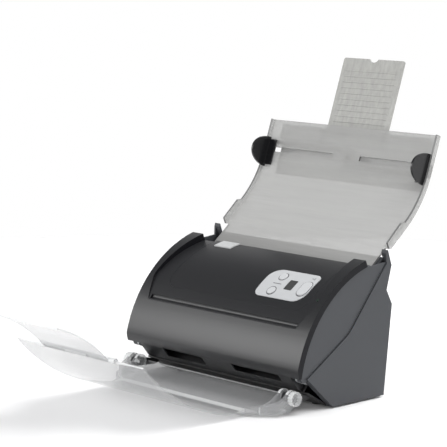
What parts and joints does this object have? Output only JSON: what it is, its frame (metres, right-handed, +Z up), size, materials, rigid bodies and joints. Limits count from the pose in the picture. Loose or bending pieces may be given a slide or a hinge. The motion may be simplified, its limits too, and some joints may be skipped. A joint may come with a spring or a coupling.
{
  "type": "sheet-fed document scanner",
  "caption": "Desktop sheet-fed document scanner with a front cover that tips open, a clear folding output tray, and a paper chute with sliding guides and an extension",
  "frame": {"origin": "on the table, under the middle of the machine as stored: midway between its sides, and midway between the tip of the unfolded tray flap and the top of the drawn-out extension", "axes": "+X to the right seen from the front, -Y towards the user, +Z up"},
  "size_m": [0.3186, 0.6047, 0.4161],
  "materials": {
    "gloss_shell": "glossy charcoal",
    "matt_shell": "fine textured blue-grey",
    "black_plastic": "black",
    "silver_panel": "silver paint",
    "light_grey": "light grey",
    "display": "dark display window",
    "lamp": "tinted lens",
    "clear_plastic": "clear",
    "frosted_plastic": "translucent grey",
    "steel": "plain",
    "zinc_plate": "zinc coated",
    "rubber": "matt",
    "white_gear": "natural",
    "glass": "clear",
    "board": "green laminate",
    "brass_bush": "plain",
    "grey_roller": "matt"
  },
  "bodies": {
    "base": {"bottom_housing": "black_plastic", "rear_cover": "matt_shell", "side_panel_left": "matt_shell", "side_panel_right": "matt_shell", "frame_left": "zinc_plate", "frame_right": "zinc_plate", "hinge_pins": "steel", "bushings": "brass_bush", "exit_lip": "black_plastic", "lower_guide": "black_plastic", "lower_sensor": "black_plastic", "lower_glass": "glass", "motor": "zinc_plate", "main_board": "board", "usb_port": "steel", "power_inlet": "black_plastic", "feet": "rubber", "chute_plate": "frosted_plastic", "chute_back": "black_plastic"},
    "cover": {"cover_shell": "gloss_shell", "cover_side_left": "matt_shell", "cover_side_right": "matt_shell", "inlay_panel": "gloss_shell", "control_panel": "silver_panel", "display_window": "display", "lamp_lens": "lamp", "panel_board": "board", "upper_guide": "black_plastic", "upper_sensor": "black_plastic", "upper_glass": "glass", "separation_pad": "rubber", "pad_spring": "steel"},
    "lever": {"release_lever": "light_grey"},
    "scan_key": {"scan_button": "silver_panel"},
    "up_key": {"up_button": "silver_panel"},
    "down_key": {"down_button": "silver_panel"},
    "switch": {"power_switch": "black_plastic"},
    "tray": {"tray_sheet": "clear_plastic", "tray_pins": "steel", "tray_knobs": "clear_plastic", "flap_pin": "steel"},
    "flap": {"tray_flap": "clear_plastic"},
    "left_guide": {"guide_left": "black_plastic"},
    "right_guide": {"guide_right": "black_plastic"},
    "pinion": {"guide_pinion": "white_gear"},
    "extension": {"extension_plate": "frosted_plastic"},
    "drive": {"drive_shaft": "steel", "drive_roller": "grey_roller", "drive_gear": "white_gear"},
    "feed": {"feed_shaft": "steel", "feed_roller": "rubber", "feed_gear": "white_gear"},
    "exit": {"exit_shaft": "steel", "exit_roller": "grey_roller", "exit_gear": "white_gear"},
    "idler": {"idler_gear": "white_gear"},
    "long_idler": {"long_idler_gear": "white_gear"},
    "motor_rotor": {"motor_pinion": "white_gear"},
    "drive_pinch": {"drive_pinch_roller": "grey_roller"},
    "exit_pinch": {"exit_pinch_roller": "grey_roller"}
  },
  "joints": [
    {"name": "cover_hinge", "type": "hinge", "parent": "base", "child": "cover", "pos_m": [0, 0.0095, 0.044], "axis": [1, 0, 0], "range_deg": [0, 70]},
    {"name": "lever_turn", "type": "hinge", "parent": "cover", "child": "lever", "pos_m": [0, 0.1205, 0.16], "axis": [1, 0, 0], "range_deg": [-12, 0], "stiffness_Nm_per_rad": 0.2, "springref_deg": 5.73},
    {"name": "scan_press", "type": "slide", "parent": "cover", "child": "scan_key", "axis": [0, 0.5603, -0.8283], "range_m": [0, 0.0008], "stiffness_N_per_m": 300, "springref_m": -0.001},
    {"name": "up_press", "type": "slide", "parent": "cover", "child": "up_key", "axis": [0, 0.5603, -0.8283], "range_m": [0, 0.0008], "stiffness_N_per_m": 300, "springref_m": -0.001},
    {"name": "down_press", "type": "slide", "parent": "cover", "child": "down_key", "axis": [0, 0.5603, -0.8283], "range_m": [0, 0.0008], "stiffness_N_per_m": 300, "springref_m": -0.001},
    {"name": "switch_rock", "type": "hinge", "parent": "base", "child": "switch", "pos_m": [0, 0.15418, 0.04632], "axis": [1, 0, 0], "range_deg": [-12, 0]},
    {"name": "tray_swing", "type": "hinge", "parent": "base", "child": "tray", "pos_m": [0, -0.0035, 0.021], "axis": [1, 0, 0], "range_deg": [-90, 0]},
    {"name": "flap_fold", "type": "hinge", "parent": "tray", "child": "flap", "pos_m": [0, -0.21855, 0.08594], "axis": [1, 0, 0], "range_deg": [-175, 0]},
    {"name": "guide_slide", "type": "slide", "parent": "base", "child": "left_guide", "axis": [1, 0, 0], "range_m": [0, 0.115]},
    {"name": "guide_mirror", "type": "slide", "parent": "base", "child": "right_guide", "axis": [1, 0, 0], "range_m": [-0.115, 0]},
    {"name": "pinion_turn", "type": "hinge", "parent": "base", "child": "pinion", "pos_m": [0, 0.25105, 0.28498], "axis": [0, -0.9455, 0.3256], "range_deg": [-824, 1]},
    {"name": "extension_slide", "type": "slide", "parent": "base", "child": "extension", "axis": [0, 0.3256, 0.9455], "range_m": [-0.085, 0]},
    {"name": "drive_turn", "type": "hinge", "parent": "base", "child": "drive", "pos_m": [0, 0.08478, 0.09311], "axis": [1, 0, 0], "continuous": true},
    {"name": "feed_turn", "type": "hinge", "parent": "base", "child": "feed", "pos_m": [0, 0.11254, 0.11954], "axis": [1, 0, 0], "continuous": true},
    {"name": "exit_turn", "type": "hinge", "parent": "base", "child": "exit", "pos_m": [0, 0.04269, 0.04098], "axis": [1, 0, 0], "continuous": true},
    {"name": "idler_turn", "type": "hinge", "parent": "base", "child": "idler", "pos_m": [0, 0.10743, 0.09711], "axis": [1, 0, 0], "continuous": true},
    {"name": "long_idler_turn", "type": "hinge", "parent": "base", "child": "long_idler", "pos_m": [0, 0.07595, 0.05718], "axis": [1, 0, 0], "continuous": true},
    {"name": "motor_turn", "type": "hinge", "parent": "base", "child": "motor_rotor", "pos_m": [0, 0.10135, 0.0394], "axis": [1, 0, 0], "continuous": true},
    {"name": "drive_pinch_turn", "type": "hinge", "parent": "cover", "child": "drive_pinch", "pos_m": [0, 0.07443, 0.10147], "axis": [1, 0, 0], "continuous": true},
    {"name": "exit_pinch_turn", "type": "hinge", "parent": "cover", "child": "exit_pinch", "pos_m": [0, 0.03234, 0.04934], "axis": [1, 0, 0], "continuous": true}
  ],
  "couplings": [
    {"joint": "guide_mirror", "follows": "guide_slide", "ratio": -1},
    {"joint": "pinion_turn", "follows": "guide_slide", "rad_per_m": -125},
    {"joint": "feed_turn", "follows": "drive_turn", "ratio": 1},
    {"joint": "exit_turn", "follows": "drive_turn", "ratio": 1},
    {"joint": "idler_turn", "follows": "drive_turn", "ratio": -1.3},
    {"joint": "long_idler_turn", "follows": "drive_turn", "ratio": -0.54167},
    {"joint": "motor_turn", "follows": "drive_turn", "ratio": 1.8571},
    {"joint": "drive_pinch_turn", "follows": "drive_turn", "ratio": -1.6},
    {"joint": "exit_pinch_turn", "follows": "drive_turn", "ratio": -1.6}
  ]
}
